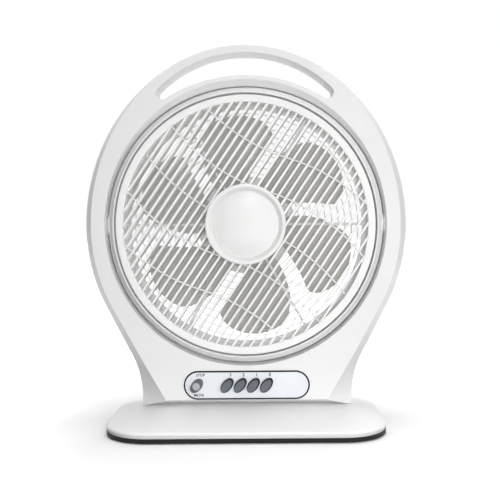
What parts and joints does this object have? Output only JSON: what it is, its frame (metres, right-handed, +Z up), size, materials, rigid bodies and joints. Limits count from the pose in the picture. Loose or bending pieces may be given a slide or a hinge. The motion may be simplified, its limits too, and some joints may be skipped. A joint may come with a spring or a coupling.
{
  "type": "oscillating fan",
  "caption": "Box fan with a round tilting head, a rotating slatted louvre, a ring frame with a carry handle, push buttons and a wide base.",
  "frame": {"origin": "middle of the base on the table plane, under the feet", "axes": "+X to the right as seen from the front, +Y from the front to the back, +Z up"},
  "size_m": [0.442, 0.2, 0.517],
  "materials": {
    "white_shell": "satin moulded white",
    "white_grille": "satin moulded white",
    "dark_plastic": "fine matt black moulding",
    "foot_rubber": "matt black rubber",
    "silver_panel": "satin silver-white",
    "slate_button": "satin slate grey",
    "warm_grey_blade": "satin warm grey",
    "zinc_steel": "zinc plated",
    "pressed_alloy": "pressed and bare",
    "bearing_bronze": "sintered, oiled",
    "copper_wire": "enamelled copper wire",
    "nylon": "natural nylon"
  },
  "bodies": {
    "stand": {"base_cover": "white_shell", "base_tray": "dark_plastic", "rubber_feet": "foot_rubber", "base_screws": "zinc_steel", "neck_screws": "zinc_steel", "front_frame": "white_shell", "rear_frame": "white_shell", "frame_screws": "zinc_steel", "panel_bezel": "dark_plastic", "panel_plate": "silver_panel", "speed_switch": "dark_plastic", "switch_screws": "zinc_steel", "louvre_switch": "dark_plastic", "capacitor": "nylon", "terminal_block": "nylon", "cord_gland": "dark_plastic", "pivot_bushes": "nylon"},
    "head": {"fan_shroud": "white_shell", "rear_grille": "white_grille", "grille_screws": "zinc_steel", "louvre_bridge": "white_shell", "bridge_screws": "zinc_steel", "louvre_motor": "zinc_steel", "motor_front_bell": "pressed_alloy", "motor_rear_bell": "pressed_alloy", "stator_core": "zinc_steel", "stator_windings": "copper_wire", "motor_bearings": "bearing_bronze", "motor_screws": "zinc_steel", "motor_cover": "white_shell", "cover_screws": "zinc_steel", "pivot_bolts": "zinc_steel", "spring_washers": "zinc_steel", "friction_washers": "nylon"},
    "fan": {"fan_blade": "warm_grey_blade", "blade_nut": "warm_grey_blade", "rotor_core": "zinc_steel", "motor_shaft": "zinc_steel"},
    "louvre": {"louvre_grille": "white_grille", "hub_cap": "white_grille", "louvre_shaft": "zinc_steel", "louvre_screw": "zinc_steel"},
    "button_3": {"button_3": "slate_button"},
    "button_2": {"button_2": "slate_button"},
    "button_1": {"button_1": "slate_button"},
    "button_0": {"button_0": "slate_button"},
    "knob": {"louvre_knob": "silver_panel"}
  },
  "joints": [
    {"name": "head_tilt", "type": "hinge", "parent": "stand", "child": "head", "pos_m": [0, 0.02, 0.27], "axis": [-1, 0, 0], "range_deg": [-20, 45]},
    {"name": "blade_spin", "type": "hinge", "parent": "head", "child": "fan", "pos_m": [0, 0.02, 0.27], "axis": [0, -1, 0], "continuous": true},
    {"name": "louvre_spin", "type": "hinge", "parent": "head", "child": "louvre", "pos_m": [0, 0.02, 0.27], "axis": [0, -1, 0], "continuous": true},
    {"name": "button_3_press", "type": "slide", "parent": "stand", "child": "button_3", "axis": [0, 1, 0], "range_m": [0, 0.004], "stiffness_N_per_m": 500, "springref_m": -0.002},
    {"name": "button_2_press", "type": "slide", "parent": "stand", "child": "button_2", "axis": [0, 1, 0], "range_m": [0, 0.004], "stiffness_N_per_m": 500, "springref_m": -0.002},
    {"name": "button_1_press", "type": "slide", "parent": "stand", "child": "button_1", "axis": [0, 1, 0], "range_m": [0, 0.004], "stiffness_N_per_m": 500, "springref_m": -0.002},
    {"name": "button_0_press", "type": "slide", "parent": "stand", "child": "button_0", "axis": [0, 1, 0], "range_m": [0, 0.004], "stiffness_N_per_m": 500, "springref_m": -0.002},
    {"name": "louvre_knob_turn", "type": "hinge", "parent": "stand", "child": "knob", "pos_m": [-0.0675, -0.01, 0.0531], "axis": [0, 1, 0], "range_deg": [0, 90]}
  ]
}
